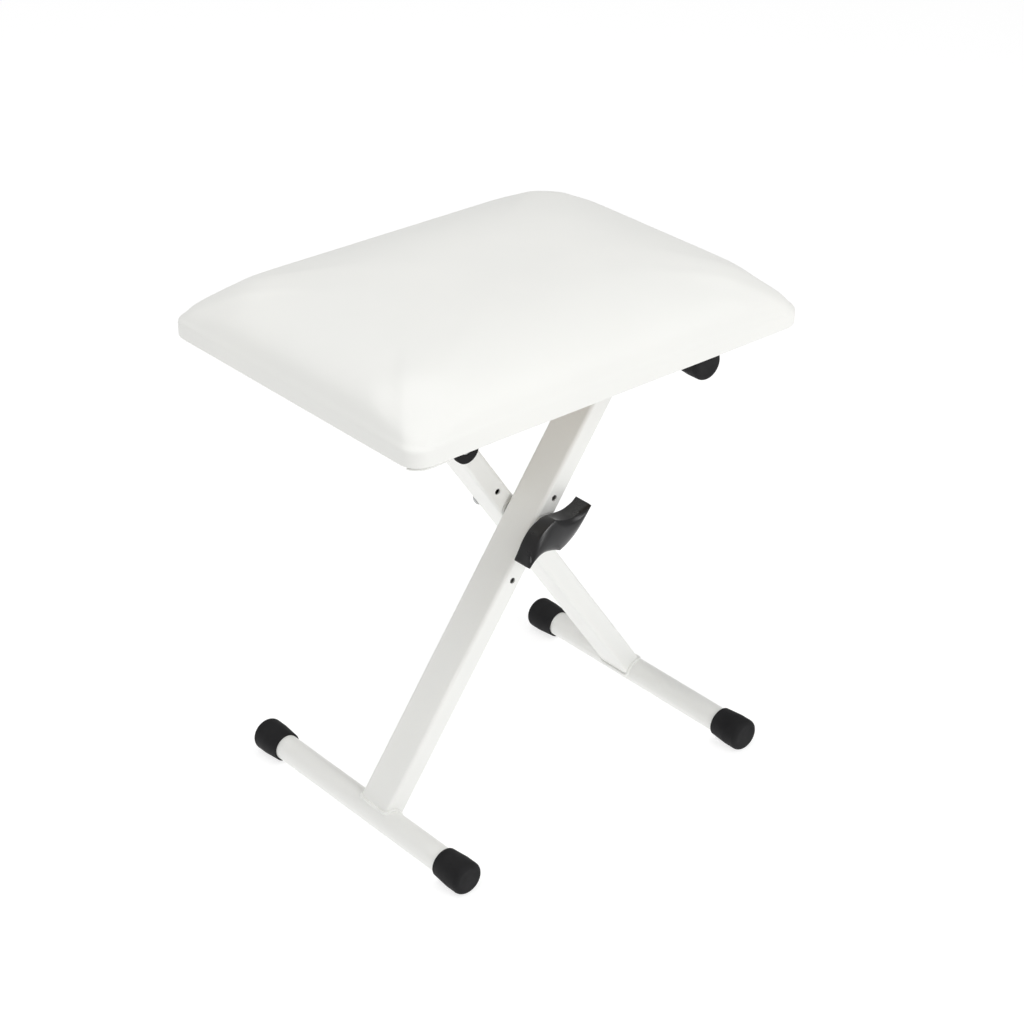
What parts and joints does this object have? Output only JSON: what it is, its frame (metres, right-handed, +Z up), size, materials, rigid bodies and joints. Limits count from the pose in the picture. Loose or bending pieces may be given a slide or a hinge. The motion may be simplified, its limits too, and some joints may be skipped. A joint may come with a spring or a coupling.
{
  "type": "folding keyboard bench",
  "caption": "Padded seat on a folding X frame of coped tubes with rubber feet, a clamp bolt and an S-shaped knob, hinged at one side and sliding on rails at the other.",
  "frame": {"origin": "on the floor, in the middle of the overall footprint", "axes": "+X along the seat's long side, towards the side that slides; +Y along its short side, away from the knob; +Z up"},
  "size_m": [0.401, 0.3, 0.4654],
  "materials": {
    "vinyl": "smooth satin imitation leather",
    "foam": "open-cell upholstery foam",
    "board": "bare plywood",
    "white_paint": "white powder coat",
    "zinc_steel": "bright zinc plate",
    "rubber": "matt moulded rubber",
    "knob_plastic": "gloss moulded plastic",
    "bush_plastic": "natural black nylon"
  },
  "bodies": {
    "seat": {"seat_board": "board", "seat_foam": "foam", "seat_cover": "vinyl", "hinge_ear_front": "zinc_steel", "hinge_ear_rear": "zinc_steel", "ear_screws": "zinc_steel", "hinge_bolt": "zinc_steel", "hinge_nut": "zinc_steel", "slide_rail_front": "zinc_steel", "slide_rail_rear": "zinc_steel", "rail_screws": "zinc_steel"},
    "leg_b": {"leg_b_tube": "white_paint", "leg_b_foot_tube": "white_paint", "hinge_tube": "white_paint", "leg_b_foot_cap_front": "rubber", "leg_b_foot_cap_rear": "rubber", "hinge_bush_front": "bush_plastic", "hinge_bush_rear": "bush_plastic", "stop_bumper": "rubber", "stop_screw": "zinc_steel", "pivot_bolt": "zinc_steel", "pivot_spacer": "bush_plastic", "leg_b_sleeve": "zinc_steel"},
    "leg_a": {"leg_a_tube": "white_paint", "leg_a_foot_tube": "white_paint", "leg_a_top_tube": "white_paint", "leg_a_foot_cap_front": "rubber", "leg_a_foot_cap_rear": "rubber", "top_cap_front": "rubber", "top_cap_rear": "rubber", "leg_a_sleeve": "zinc_steel"},
    "knob": {"knob": "knob_plastic", "knob_insert": "zinc_steel", "clamp_washer": "zinc_steel"}
  },
  "joints": [
    {"name": "seat_hinge", "type": "hinge", "parent": "seat", "child": "leg_b", "pos_m": [-0.07554, 0, 0.38474], "axis": [0, 1, 0], "range_deg": [-47.6, 14.8]},
    {"name": "leg_pivot", "type": "hinge", "parent": "leg_b", "child": "leg_a", "pos_m": [0.02701, 0, 0.23937], "axis": [0, 1, 0], "range_deg": [-29.7, 95.3]},
    {"name": "knob_turn", "type": "hinge", "parent": "leg_b", "child": "knob", "pos_m": [0.02701, 0, 0.23937], "axis": [0, 1, 0], "continuous": true}
  ],
  "couplings": [
    {"joint": "leg_pivot", "follows": "seat_hinge", "ratio": -2}
  ]
}
